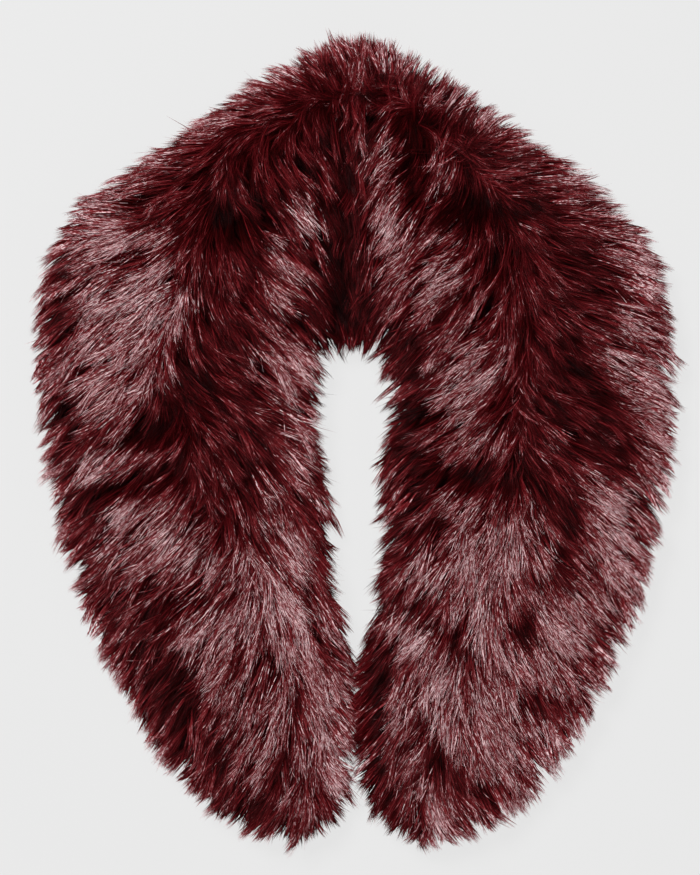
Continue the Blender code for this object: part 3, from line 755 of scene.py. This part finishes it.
@dataclass(frozen=True)
class Ribbon:
    """The form of one strand: a narrow ribbon that ends in a point and is shaded as if it were round."""

    upright: float = 1.0  # 1 faces up, -1 down
    root_width: float = 0.55  # share of its thickness
    widening: float = 1.6  # by which it grows along its length, up to the whole thickness
    point_power: float = 2.2  # a higher one makes the point blunter
    roll: float = 28.0  # degrees that it is turned about its own line, as a spread
    lean: float = 52.0  # degrees that the normals at its edges lean outwards
    map_width: float = 0.0024  # of the pile map's U that it takes
    map_length: float = 0.09  # of the pile map's V
    map_starts: Pair = (0.01, 0.9)  # where in V its root may be
    map_limits: Pair = (0.005, 0.99)  # of the brightness that U holds

    def join(self, name: str, strands: Strands, shade: Array, rng: Random) -> bpy.types.Object:
        """Joins a ribbon along each strand into one mesh: pairs of points, and one more at its tip.

        Args:
            name: the object's name.
            strands: the coat's strands.
            shade: the brightness at each of their points, 0 to 1.
            rng: for the rolls and for where in V the ribbons start.

        Returns:
            The mesh's object, with its pile map.
        """
        t = strands.t
        path = np.concatenate([strands.plan - TABLE_MIDDLE, strands.z[..., None]], axis=-1)
        count, rows = path.shape[:2]
        ahead = unit(np.gradient(path, axis=1))
        outwards = np.array([0.0, 0.0, self.upright])
        face = unit(outwards - ahead * (outwards * ahead).sum(-1, keepdims=True))
        side = np.cross(ahead, face)
        roll = np.radians(rng.normal(0, self.roll, count))[:, None, None]
        face, side = face * np.cos(roll) + side * np.sin(roll), side * np.cos(roll) - face * np.sin(roll)
        profile = np.minimum(self.root_width + self.widening * t, 1.0) * (1 - t**self.point_power)
        half = side * (strands.thickness[:, None] / 2 * profile)[..., None]
        points = self.in_pairs(path - half, path + half, path)

        per = points.shape[1]
        quads = np.arange(rows - 2)[:, None] * 2 + np.array([0, 1, 3, 2])
        corner = np.concatenate([quads.ravel(), [per - 3, per - 2, per - 1]])
        sides = np.array([4] * (rows - 2) + [3])
        corners = (np.arange(count)[:, None] * per + corner).ravel()
        made = new_object(name, points.reshape(-1, 3) * MM, corners, np.tile(sides, count))

        lean = np.radians(self.lean)
        flat, tilt = face * np.cos(lean), side * np.sin(lean)
        normals = self.in_pairs(flat - tilt, flat + tilt, face).reshape(-1, 3)
        made.data.shade_smooth()
        made.data.normals_split_custom_set_from_vertices(normals.astype(np.float32))

        start = rng.uniform(*self.map_starts, (count, 1))
        shade = np.clip(shade, *self.map_limits)[..., None]
        edge = self.map_width / 2
        u = self.in_pairs(shade - edge, shade + edge, shade)[:, corner, 0]
        height = np.broadcast_to(t[:, None] * self.map_length, shade.shape)
        v = start + self.in_pairs(height, height, height)[:, corner, 0]
        uv = made.data.uv_layers.new(name=PILE_MAP)
        uv.uv.foreach_set("vector", np.stack([u, v], axis=-1).astype(np.float32).ravel())
        return made

    def in_pairs(self, left: Array, right: Array, tip: Array) -> Array:
        """Rows for a ribbon's points: left and right at each place before the last, then its tip."""
        pairs = np.stack([left[:, :-1], right[:, :-1]], axis=2)
        return np.concatenate([pairs.reshape(len(tip), -1, tip.shape[-1]), tip[:, -1:]], axis=1)


@dataclass
class Coat:
    """One coat of pile on a backing. Locks hold wisps, wisps hold strands, and each draws to a point.

    Locks are placed by their tips, evenly over the pile's plan, and followed back to their roots.
    """

    name: str
    backing: Backing
    seed: int
    span: Pair = (-0.05, 1.05)  # of the half, along, that tips are on
    tip_grid: tuple[int, int] = (300, 140)  # cells along and across that tips are drawn over
    tip_band: Pair = (-0.3, 1.3)  # of w that those cells cover
    spacing: float = 6.4  # between lock tips
    rim_crowd: float = 1.4  # share by which tips stand closer at the outline
    rim_band: float = 8.0  # how far in from the outline they do
    lock_radius: float = 4.2
    wisps_per_lock: int = 8
    wisp_radius: float = 1.2
    strands_per_wisp: int = 4
    length: float = 40.0  # in plan
    length_spread: float = 0.12  # of a lock's length, as a share of it
    length_limits: Pair = (0.6, 1.4)  # of a lock's length, as shares of it
    short_spread: float = 0.07  # how much shorter its wisps are, and strands in them
    full_limits: Pair = (0.55, 1.15)  # of a strand's length, as a share of its lock's
    overhang: Pair = (3.0, 3.3)  # of lock tips past the outline: mean and spread
    overhang_limits: Pair = (-2.0, 1.7)  # from the mean, in spreads
    reach_share: float = 1.0  # of the table of reach that this coat follows
    lift: Pair = (0.76, 1.0)  # share of the loft that tips reach
    wisp_lift: Pair = (0.93, 1.0)  # share of that which a wisp's tip reaches
    strand_lift: Pair = (0.95, 1.0)  # the same for a strand in its wisp
    lock_slope: float = 0.12  # of its lift, lost from a lock's middle to its side
    hang_share: float = 0.7  # of locks at the outline, whose tips hang at any height
    hang_band: Pair = (2.0, 14.0)  # how far in from the outline this begins to fade, and over how far
    loft_power: float = 1.7  # 1 would be straight strands; more of it bends their tips level
    droop: float = 0.5  # how much lower tips are for each millimetre past the outline
    droop_band: float = 12.0  # how far past it they still get lower
    thickness: Pair = (0.38, 0.76)
    stations: tuple[float, ...] = (0.0, 0.4, 0.75, 1.0)  # shares of a strand at its points
    lock_draw: float = 0.74
    wisp_draw: float = 0.85
    sheen_loosens: float = 0.40  # how much less pile draws together where it has painted sheen
    unruly: float = 8.0  # degrees that locks stray from the combed direction
    turning: float = 0.14  # share of its turn to the combed direction that a lock takes at each step
    sway: float = 2.4  # how far a wisp's tip strays sideways
    stray: float = 1.1  # the same for a strand in its wisp
    low_tip: Pair = (4.0, 7.0)  # height of the lowest tips at the outline
    pressed: bool = False  # pile on the backing's lower face, flattened by what the collar lies on
    draw_powers: Pair = (1.6, 1.2)  # of the way along, by which a lock and a wisp draw in
    flyaways: float = 0.04  # share of strands that stray further and are finer
    flyaway_sway: float = 3.0  # how many times further
    flyaway_thickness: float = 0.6  # share of a strand's thickness
    tooth: float = 5.0  # how far in from the outline locks are drawn tighter, into teeth
    tooth_draw: float = 0.12  # how much tighter
    tooth_calm: float = 0.5  # how much less their wisps sway
    tooth_bulk: float = 0.3  # how much thicker their strands are
    guide_steps: int = 12
    trace_limits: Pair = (-0.5, 1.5)  # of w, that locks are followed between
    shade: PaintedPileShade = PaintedPileShade()

    def build(self) -> bpy.types.Object:
        """Grows the coat and joins its strands into one mesh."""
        rng = np.random.default_rng(self.seed)
        shape = self.backing.shape
        s, w = self.tip_places(rng)
        beyond = shape.beyond(s, w)
        length = 1 + self.length_spread * rng.normal(0, 1, len(s))
        length = self.length * length.clip(*self.length_limits)
        guide, place = self.traced(rng, s, w, length)
        strands = self.grouped(rng, beyond)
        self.spread(strands, guide, place)
        self.rise(strands, beyond, rng)
        shade = self.shade.of(strands, shape.side, rng)
        return Ribbon(-1.0 if self.pressed else 1.0).join(self.name, strands, shade, rng)

    def tip_places(self, rng: Random) -> tuple[Array, Array]:
        """Spreads lock tips over the plan, then drops those that reach too far past the outline.

        Cells of a grid over s and w are drawn in strata, by their area and by how much tips crowd there,
        and each place is jittered.
        """
        shape = self.backing.shape
        rows, columns = self.tip_grid
        edges_s, edges_w = np.linspace(*self.span, rows + 1), np.linspace(*self.tip_band, columns + 1)
        s, w = np.meshgrid(edges_s, edges_w, indexing="ij")
        plan = shape.plan(s, w)
        short = shape.beyond(s, w) - self.reach_share * patch_sum(REACH, plan)
        crowd = 1 + self.rim_crowd * np.exp(-((short[:-1, :-1] / self.rim_band) ** 2))
        so_far = np.cumsum(cell_areas(plan) * crowd)
        count = int(so_far[-1] / self.spacing**2)
        drawn = so_far[-1] * (np.arange(count) + rng.uniform(0, 1, count)) / count
        cell = np.clip(np.searchsorted(so_far, drawn), 0, len(so_far) - 1)
        s = edges_s[cell // columns] + rng.uniform(0, 1, count) * (edges_s[1] - edges_s[0])
        w = edges_w[cell % columns] + rng.uniform(0, 1, count) * (edges_w[1] - edges_w[0])
        mean, spread = self.overhang
        overhang = mean + spread * np.clip(rng.normal(0, 1, count), *self.overhang_limits)
        kept = shape.beyond(s, w) < overhang + self.reach_share * patch_sum(REACH, shape.plan(s, w))
        return s[kept], w[kept]

    def traced(self, rng: Random, s: Array, w: Array, length: Array) -> tuple[Array, Array]:
        """Follows each lock's middle back from its tip to its root, in short straight steps.

        The direction turns only partly to the combed one as it goes. A root that would miss the cloth
        is moved onto it, and takes the lock with it, by (1 - t) squared of the move at t of the way.

        Args:
            rng: for the strays from the combed direction.
            s, w: where each lock's tip is.
            length: each lock's length in plan.

        Returns:
            Its points in plan and its places (s, w), root first.
        """
        shape = self.backing.shape
        stray = np.radians(rng.normal(0, self.unruly, len(s)))
        step = (length / self.guide_steps)[:, None]
        plan = shape.plan(s, w)
        ahead = turned(shape.combed(s, w, plan), stray)
        plans, places = [plan], [np.stack([s, w], axis=-1)]
        for _ in range(self.guide_steps):
            change = shape.in_section(s, w, -ahead * step)
            s, w = s + change[..., 0], np.clip(w + change[..., 1], *self.trace_limits)
            plan = plan - ahead * step
            combed = turned(shape.combed(s, w, plan), stray)
            ahead = unit((1 - self.turning) * ahead + self.turning * combed)
            plans.append(plan)
            places.append(np.stack([s, w], axis=-1))
        held_s, held_w = self.backing.inside(s, w)
        pull = np.linspace(1, 0, self.guide_steps + 1)[:, None] ** 2
        move = (shape.plan(held_s, held_w) - plan)[:, None]
        change = np.stack([held_s - s, held_w - w], axis=-1)[:, None]
        plans, places = np.stack(plans[::-1], axis=1), np.stack(places[::-1], axis=1)
        return plans + move * pull, places + change * pull

    def grouped(self, rng: Random, beyond: Array) -> Strands:
        """Groups strands into wisps and locks, and draws how they differ.

        Args:
            rng: for the draws.
            beyond: how far past the outline each lock's tip is.
        """
        lock_of_wisp = np.repeat(np.arange(len(beyond)), self.wisps_per_lock)
        wisps = len(lock_of_wisp)
        wisp = np.repeat(np.arange(wisps), self.strands_per_wisp)
        lock, count = lock_of_wisp[wisp], len(wisp)
        wisp_at, strand_at = self.in_disc(rng, wisps)[wisp], self.in_disc(rng, count)
        tooth = np.exp(np.minimum(beyond, 0) / self.tooth)[lock]
        sway = rng.normal(0, self.sway, wisps)[wisp] + rng.normal(0, self.stray, count)
        sway = sway * (1 - self.tooth_calm * tooth)
        full = 1 - np.abs(rng.normal(0, self.short_spread, wisps))[wisp]
        full = full - np.abs(rng.normal(0, self.short_spread, count))
        thickness = rng.uniform(*self.thickness, count) * (1 + self.tooth_bulk * tooth)
        free = rng.uniform(0, 1, count) < self.flyaways
        sway = np.where(free, self.flyaway_sway * sway, sway)
        thickness = np.where(free, self.flyaway_thickness * thickness, thickness)
        t = np.array(self.stations)
        return Strands(t, lock, wisp, wisp_at, strand_at, tooth, sway, full, thickness)

    def in_disc(self, rng: Random, count: int) -> Array:
        """Random points in a disc of radius 1, evenly spread: theirs is the root of a uniform number."""
        r, turn = np.sqrt(rng.uniform(0, 1, count)), rng.uniform(0, 2 * np.pi, count)
        return np.stack([r * np.cos(turn), r * np.sin(turn)], axis=-1)

    def spread(self, strands: Strands, guide: Array, place: Array) -> None:
        """Spreads strands out from their locks' middle lines, and draws locks and wisps to a point.

        Args:
            strands: the coat's strands, which get their points here.
            guide: each lock's middle line in plan, root first.
            place: the same as s and w.
        """
        shape, t = self.backing.shape, strands.t
        spot = np.clip(strands.full, *self.full_limits)[:, None] * t * self.guide_steps
        low = np.minimum(spot.astype(int), self.guide_steps - 1)
        blend = (spot - low)[..., None]
        rows = strands.lock[:, None]
        ahead = unit(guide[rows, low + 1] - guide[rows, low])
        aside = np.stack([-ahead[..., 1], ahead[..., 0]], axis=-1)

        zone = self.shade.zone(shape.side, guide[:, -1])
        loose = self.sheen_loosens * self.shade.painted_sheen(zone)[strands.lock] * (1 - strands.tooth)
        lock_draw = self.lock_draw + self.tooth_draw * strands.tooth
        lock_power, wisp_power = self.draw_powers
        lock_width = self.lock_radius * (1 - (lock_draw - loose)[:, None] * t**lock_power)
        wisp_width = self.wisp_radius * (1 - (self.wisp_draw - loose)[:, None] * t**wisp_power)
        across = strands.wisp_at[:, :1] * lock_width + strands.strand_at[:, :1] * wisp_width
        across = across + strands.sway[:, None] * t**2
        forward = strands.wisp_at[:, 1:] * lock_width + strands.strand_at[:, 1:] * self.wisp_radius
        offset = aside * across[..., None] + ahead * forward[..., None]
        strands.plan = guide[rows, low] * (1 - blend) + guide[rows, low + 1] * blend + offset
        place = place[rows, low] * (1 - blend) + place[rows, low + 1] * blend
        strands.place = place + shape.in_section(place[..., 0], place[..., 1], offset)
        strands.beyond = shape.beyond(strands.place[..., 0], strands.place[..., 1])
        strands.dip = shape.dip(strands.plan)

    def rise(self, strands: Strands, beyond: Array, rng: Random) -> None:
        """Raises strands from the backing towards the pile's top, or lowers pressed ones to the floor.

        Args:
            strands: the coat's strands, which get their heights here.
            beyond: how far past the outline each lock's tip is.
            rng: for how high they reach.
        """
        s, w = strands.place[..., 0], strands.place[..., 1]
        shape, count = self.backing.shape, len(s)
        root_z = self.backing.height(*self.backing.inside(s[:, :1], w[:, :1]))
        low_z = rng.uniform(*self.low_tip, count)[:, None]
        if self.pressed:
            root_z = root_z - self.backing.thickness
            low_z, skin = root_z, low_z
        else:
            skin = shape.top(s, w, strands.dip) - np.clip(strands.beyond, 0, self.droop_band) * self.droop
        lift = self.lifts(rng, beyond)[strands.lock]
        lift = lift * rng.uniform(*self.wisp_lift, strands.wisp[-1] + 1)[strands.wisp]
        lift = lift * rng.uniform(*self.strand_lift, count)
        lift = lift * (1 - self.lock_slope * strands.wisp_at[:, 0] ** 2)
        goal = low_z + (skin - low_z) * lift[:, None]
        strands.z = root_z + (goal - root_z) * (1 - (1 - strands.t) ** self.loft_power)
        depth = skin - root_z
        depth = np.where(np.abs(depth) < 1, np.sign(depth), depth)
        strands.buried = 1 - np.clip((strands.z - root_z) / depth, 0, 1)

    def lifts(self, rng: Random, beyond: Array) -> Array:
        """Share of the loft that each lock's tip reaches: near the outline, some hang at any height."""
        count = len(beyond)
        lift = rng.uniform(*self.lift, count)
        start, fade = self.hang_band
        near = 1 - ease((-beyond - start) / fade)
        return np.where(rng.uniform(0, 1, count) < self.hang_share * near, rng.uniform(0, 1, count), lift)


def feed(tree: bpy.types.NodeTree, node: bpy.types.Node, sockets: dict[str | int, object]) -> None:
    """Gives each input socket, by name or number, its value or a link from the output that is given."""
    for name, value in sockets.items():
        if isinstance(value, bpy.types.NodeSocket):
            tree.links.new(value, node.inputs[name])
        else:
            node.inputs[name].default_value = value


def add_node(
    tree: bpy.types.NodeTree, kind: str, sockets: dict[str | int, object], **settings: object
) -> bpy.types.Node:
    """A new shader node.

    Args:
        tree: the material's nodes.
        kind: the node's type, without its first word.
        sockets: each input's value, or the output that feeds it.
        settings: the node's own settings.

    Returns:
        The node.
    """
    made = tree.nodes.new("ShaderNode" + kind)
    for name, value in settings.items():
        setattr(made, name, value)
    feed(tree, made, sockets)
    return made


def new_material(name: str) -> tuple[bpy.types.Material, bpy.types.NodeTree, bpy.types.Node]:
    """A material with its nodes and its main shader."""
    made = bpy.data.materials.new(name)
    made.use_nodes = True
    return made, made.node_tree, made.node_tree.nodes["Principled BSDF"]


@dataclass(frozen=True)
class FurFinish:
    """Dyed pile, from almost black for painted shade where it is deep, through burgundy, to grey-pink for
    painted sheen.
    """

    name: str
    roughness: float = 0.45
    specular: float = 0.05
    sheen: float = 0.01
    sheen_roughness: float = 0.35
    sheen_tint: Triple = (0.9, 0.6, 0.62)
    glint_pace: float = 90.0  # of the noise along the pile map's V, which sets painted glints
    glint_share: Pair = (0.42, 0.68)  # of the noise, where glints begin and are full
    glint_gain: Pair = (-0.65, 2.7)  # at the noise's lows and at its highs
    glint_floor: float = 0.25  # brightness that pile needs for any glint
    shades: tuple[tuple[float, Triple], ...] = (
        (0.00, (0.0030, 0.0001, 0.0002)),
        (0.06, (0.0200, 0.0003, 0.0007)),
        (0.11, (0.0500, 0.0013, 0.0022)),
        (0.17, (0.1010, 0.0048, 0.0070)),
        (0.24, (0.1760, 0.0110, 0.0145)),
        (0.32, (0.2480, 0.0290, 0.0345)),
        (0.40, (0.3160, 0.0680, 0.0760)),
        (0.60, (0.5300, 0.2300, 0.2480)),
        (1.00, (0.9500, 0.6800, 0.7000)),
    )

    def material(self) -> bpy.types.Material:
        """Colour by the pile map: U holds painted brightness, and V each strand's own stretch of a noise.

        Where the noise is high, a strand has a painted glint: U grows by the gain times what it has over
        the floor.
        """
        made, tree, shader = new_material(self.name)
        where = add_node(tree, "UVMap", {}, uv_map=PILE_MAP)
        split = add_node(tree, "SeparateXYZ", {0: where.outputs["UV"]})
        noise = {"W": split.outputs["Y"], "Scale": self.glint_pace, "Detail": 1.0}
        stretch = add_node(tree, "TexNoise", noise, noise_dimensions="1D")
        share = {"From Min": self.glint_share[0], "From Max": self.glint_share[1]}
        gain = {"To Min": self.glint_gain[0], "To Max": self.glint_gain[1]}
        glint = {"Value": stretch.outputs["Fac"], **share, **gain}
        glint = add_node(tree, "MapRange", glint, interpolation_type="SMOOTHSTEP")
        over = {0: split.outputs["X"], 1: -self.glint_floor}
        over = add_node(tree, "Math", over, operation="ADD", use_clamp=True)
        bright = {0: over.outputs[0], 1: glint.outputs["Result"], 2: split.outputs["X"]}
        bright = add_node(tree, "Math", bright, operation="MULTIPLY_ADD")
        ramp = add_node(tree, "ValToRGB", {"Fac": bright.outputs[0]})
        stops = ramp.color_ramp.elements
        for place, colour in self.shades[1:-1]:
            stops.new(place).color = (*colour, 1.0)
        stops[0].color = (*self.shades[0][1], 1.0)
        stops[-1].color = (*self.shades[-1][1], 1.0)
        feed(tree, shader, {
            "Base Color": ramp.outputs["Color"],
            "Roughness": self.roughness,
            "Specular IOR Level": self.specular,
            "Sheen Weight": self.sheen,
            "Sheen Roughness": self.sheen_roughness,
            "Sheen Tint": (*self.sheen_tint, 1.0),
        })
        return made


@dataclass(frozen=True)
class BackingFinish:
    """The knitted backing that pile grows from: dark, matt, with a fine rib."""

    name: str = "backing_knit"
    colour: Triple = (0.020, 0.003, 0.005)
    valley_shade: float = 0.5  # painted shade: share of that colour between the ribs
    ridge_light: float = 1.4  # painted light: share of that colour on them
    rib_pitch: float = 0.0016  # metres from rib to rib
    wave_pitch: float = 6.283 / 20  # the same for a wave texture's bands at a scale of 1
    rib_waviness: float = 1.5
    rib_height: float = 0.0004
    roughness: float = 0.9
    specular: float = 0.1

    def material(self) -> bpy.types.Material:
        """A rib of slightly wavy sine bands across X, in height, and in colour as painted shade and light.
        """
        made, tree, shader = new_material(self.name)
        place = add_node(tree, "TexCoord", {})
        rib = add_node(tree, "TexWave", {
            "Vector": place.outputs["Object"],
            "Scale": self.wave_pitch / self.rib_pitch,
            "Distortion": self.rib_waviness,
        })
        ramp = add_node(tree, "ValToRGB", {"Fac": rib.outputs["Fac"]})
        for stop, share in zip(ramp.color_ramp.elements, (self.valley_shade, self.ridge_light)):
            stop.color = (*(c * share for c in self.colour), 1.0)
        bump = add_node(tree, "Bump", {"Distance": self.rib_height, "Height": rib.outputs["Fac"]})
        feed(tree, shader, {
            "Base Color": ramp.outputs["Color"],
            "Normal": bump.outputs["Normal"],
            "Roughness": self.roughness,
            "Specular IOR Level": self.specular,
        })
        return made


@dataclass
class Half:
    """One half of the collar: both panels' backings and all their pile."""

    side: Side
    fur: bpy.types.Material
    pressed_fur: bpy.types.Material
    knit: bpy.types.Material

    def build(self) -> None:
        """Builds the upper panel, then the under panel."""
        shape = HalfShape(self.side)
        self.upper(shape)
        self.under(shape)

    def upper(self, shape: HalfShape) -> None:
        """The upper panel: backing, dense underfur, and guard hair on its back, arm and front parts."""
        name = self.side.value
        backing = Backing(shape)
        seed = 100 if self.side is Side.LEFT else 200
        coats = [
            Coat(
                f"underfur_{name}", backing, seed + 1,
                spacing=9.4, lock_radius=6.0, wisps_per_lock=6, strands_per_wisp=3,
                length=30, lift=(0.4, 0.8), thickness=(1.0, 1.5), stations=(0.0, 0.5, 1.0),
                overhang=(0.6, 2.0), rim_crowd=2.0, rim_band=14.0, shade=PaintedPileShade(share=0.7),
            ),
            Coat(f"guard_hair_back_{name}", backing, seed + 2, span=(-0.05, 0.37)),
            Coat(f"guard_hair_arm_{name}", backing, seed + 3, span=(0.37, 0.68)),
            Coat(f"guard_hair_front_{name}", backing, seed + 4, span=(0.68, 1.05)),
        ]
        self.finish(backing, f"backing_upper_{name}", f"upper_{name}", coats, self.fur)

    def under(self, shape: HalfShape) -> None:
        """The under panel: backing, and pile pressed flat between it and what the collar lies on."""
        name = self.side.value
        backing = Backing(shape, margin=24.0, low_z=9.6, crown_share=0.0)
        seed = 300 if self.side is Side.LEFT else 400
        coats = [
            Coat(
                f"pressed_pile_{name}", backing, seed,
                spacing=9.8, lock_radius=7.5, wisps_per_lock=5, strands_per_wisp=3,
                length=36, lift=(0.3, 1.0), thickness=(1.6, 2.6), stations=(0.0, 0.6, 1.0),
                lock_draw=0.35, wisp_draw=0.5, sheen_loosens=0.0,
                overhang=(-3.0, 2.0), reach_share=0.0, rim_crowd=0.5, low_tip=(0.8, 3.8), pressed=True,
                shade=PaintedPileShade(share=0.9, zone_share=0.25, rim_share=0.5),
            ),
        ]
        self.finish(
            backing, f"backing_under_{name}", f"under_{name}", coats, self.pressed_fur
        )

    def finish(
        self,
        backing: Backing,
        name: str,
        node: str,
        coats: list[Coat],
        fur: bpy.types.Material,
    ) -> None:
        sheet = backing.build(name)
        sheet.data.materials.append(self.knit)
        pile = [coat.build() for coat in coats]
        for piece in pile:
            piece.data.materials.append(fur)
        for piece in (sheet, *pile):
            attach(piece, BODY)
            faces = piece.data
            log.info("%s: %d triangles", piece.name, len(faces.loops) - 2 * len(faces.polygons))
        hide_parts(node)
        width, length, area = backing.flat_cut()
        log.info("%s: cut %.3f by %.3f m, %.4f square metres", name, width, length, area)


@dataclass
class Studio:
    """A plain pale floor, soft light from above, and a camera that looks straight down."""

    view_centre: Pair = (-3.5, 4.9)  # what the camera looks at, in millimetres
    view_height: float = 542.5  # of the picture, measured at the rim's height
    rim_z: float = 18.0
    distance: float = 1.6
    floor_reach: float = 4.0
    floor_glow: float = 0.728
    sky_colour: Triple = (1.0, 0.99, 0.985)
    sky_strength: float = 0.12

    def build(self) -> None:
        """Floor, lights and camera."""
        self.floor()
        self.lights()
        self.camera()

    def floor(self) -> None:
        """A wide square, pale and partly self-lit, so that shadows on it stay faint."""
        reach = self.floor_reach
        points = np.array([[-reach, -reach, 0], [reach, -reach, 0], [reach, reach, 0], [-reach, reach, 0]])
        made = new_object("floor", points, np.arange(4), np.array([4]))
        paint, tree, shader = new_material("floor_paint")
        feed(tree, shader, {
            "Base Color": (0.08, 0.08, 0.08, 1.0),
            "Roughness": 1.0,
            "Specular IOR Level": 0.0,
            "Emission Color": (1.0, 1.0, 1.0, 1.0),
            "Emission Strength": self.floor_glow,
        })
        made.data.materials.append(paint)

    def light(self, name: str, place: Triple, size: float, power: float) -> None:
        """A square area light at a place in metres, aimed at the collar's middle."""
        lamp = bpy.data.lights.new(name, "AREA")
        lamp.shape = "SQUARE"
        lamp.size = size
        lamp.energy = power
        made = bpy.data.objects.new(name, lamp)
        made.location = place
        x, y, z = place
        made.rotation_euler = (np.arctan2(np.hypot(x, y), z), 0.0, np.arctan2(x, -y))
        bpy.context.scene.collection.objects.link(made)

    def lights(self) -> None:
        """A softbox above, a broader one towards the centre back, a fill, and a pale surround."""
        self.light("softbox_key", place=(-0.7, 0.8, 1.7), size=0.7, power=34.0)
        self.light("softbox_top", place=(0.2, -0.1, 2.2), size=0.8, power=14.0)
        self.light("softbox_fill", place=(0.9, -1.3, 1.2), size=1.2, power=6.0)
        world = bpy.context.scene.world or bpy.data.worlds.new("studio")
        bpy.context.scene.world = world
        world.use_nodes = True
        sky = world.node_tree.nodes["Background"]
        feed(world.node_tree, sky, {"Color": (*self.sky_colour, 1.0), "Strength": self.sky_strength})
        bpy.context.scene.view_settings.view_transform = "Standard"

    def camera(self) -> None:
        """Straight down, framed so that the view's height is met at the rim."""
        lens = bpy.data.cameras.new("camera")
        lens.sensor_fit = "VERTICAL"
        lens.angle_y = 2 * np.arctan(self.view_height * MM / 2 / self.distance)
        made = bpy.data.objects.new("camera", lens)
        made.location = (*(c * MM for c in self.view_centre), self.rim_z * MM + self.distance)
        bpy.context.scene.collection.objects.link(made)
        bpy.context.scene.camera = made


def corners(box: tuple) -> list[list[float]]:
    return [[float(c) for c in corner] for corner in box]


def main() -> None:
    """Loads the frame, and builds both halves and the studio."""
    logging.basicConfig(level=logging.INFO, format="%(name)s: %(message)s")
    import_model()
    fur = FurFinish("fur_pile").material()
    pressed_fur = FurFinish("pressed_pile", roughness=0.6).material()
    knit = BackingFinish().material()
    for side in Side:
        Half(side, fur, pressed_fur, knit).build()
    Studio().build()


if __name__ == "__main__":
    main()
